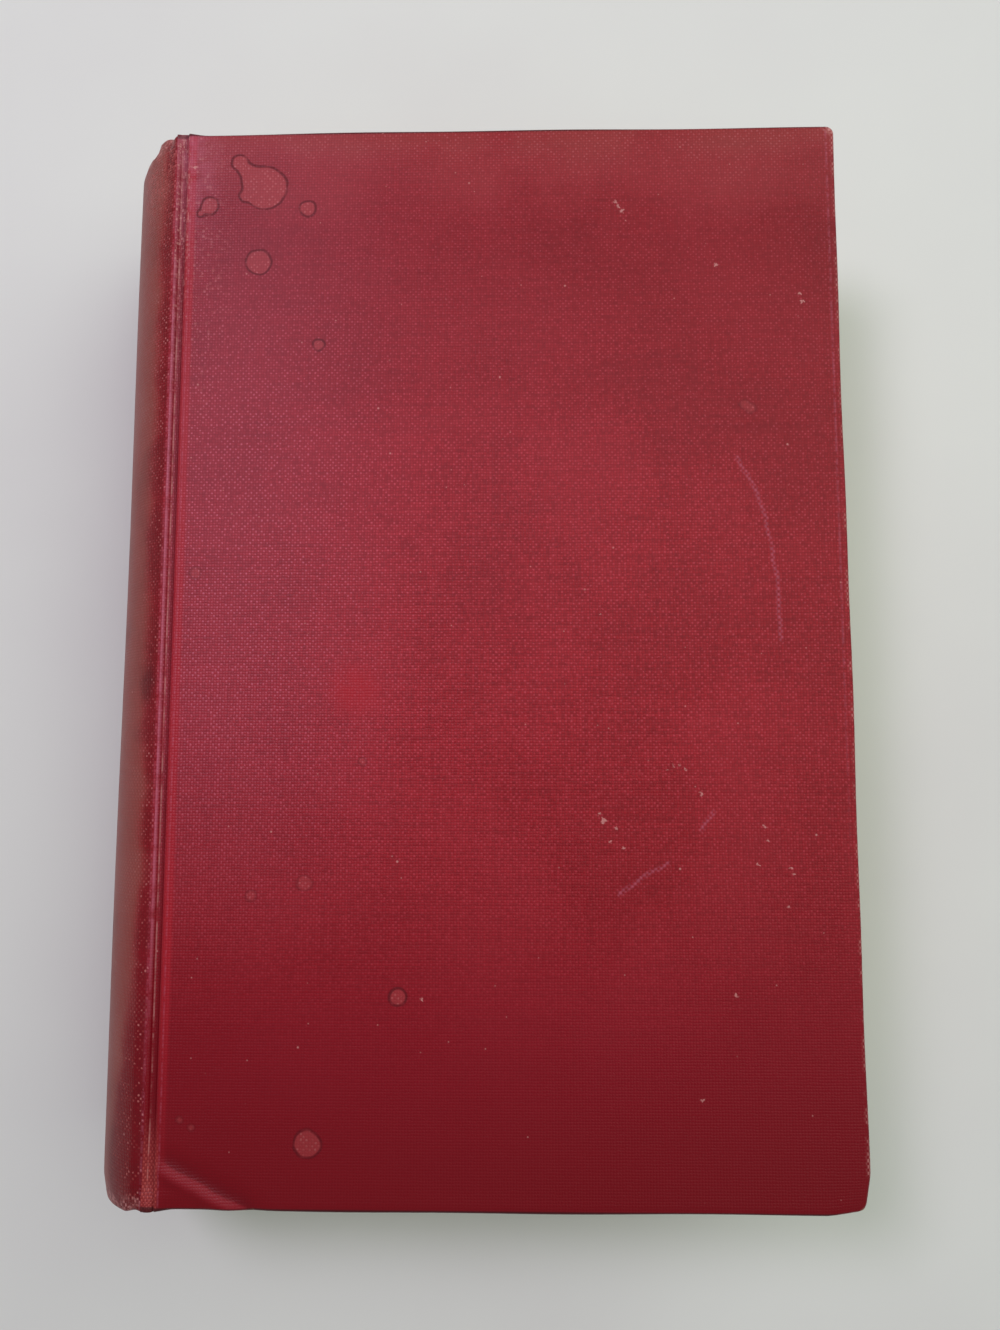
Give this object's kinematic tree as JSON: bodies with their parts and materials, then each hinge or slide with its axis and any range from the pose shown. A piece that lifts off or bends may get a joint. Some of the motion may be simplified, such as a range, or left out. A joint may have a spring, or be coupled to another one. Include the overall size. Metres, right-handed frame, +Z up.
{
  "type": "hardback book",
  "caption": "Worn case-bound hardback in plain red book cloth, with a rounded spine, joint grooves, hinged covers, endpapers and a block of pages with a hollow fore-edge.",
  "frame": {"origin": "middle of the footprint on the surface that the closed book lies on, back cover down", "axes": "+X from the spine to the fore-edge, +Y from the tail to the head, +Z up through the thickness to the front cover"},
  "size_m": [0.1652, 0.2364, 0.054],
  "materials": {
    "book_cloth": "dull red plain-weave book cloth, faded and stained",
    "pages": "toned uncoated book paper, cut edges",
    "endpaper": "toned uncoated endpaper",
    "millboard": "grey-brown millboard",
    "kraft_lining": "brown kraft paper",
    "mull": "open-weave starched cotton",
    "band": "striped cotton"
  },
  "bodies": {
    "book_block": {"text_block": "pages", "front_flyleaf": "endpaper", "back_flyleaf": "endpaper", "head_band": "band", "tail_band": "band", "spine_mull": "mull", "spine_lining": "kraft_lining", "spine_inlay": "kraft_lining", "spine_cloth": "book_cloth"},
    "front_cover": {"front_board": "millboard", "front_cloth": "book_cloth", "front_mull": "mull", "front_pastedown": "endpaper"},
    "back_cover": {"back_board": "millboard", "back_cloth": "book_cloth", "back_mull": "mull", "back_pastedown": "endpaper"}
  },
  "joints": [
    {"name": "front_cover_hinge", "type": "hinge", "parent": "book_block", "child": "front_cover", "pos_m": [-0.06534, 0, 0.0535], "axis": [0, -1, 0], "range_deg": [0, 180]},
    {"name": "back_cover_hinge", "type": "hinge", "parent": "book_block", "child": "back_cover", "pos_m": [-0.06534, 0, 0.0005], "axis": [0, 1, 0], "range_deg": [0, 180]}
  ]
}
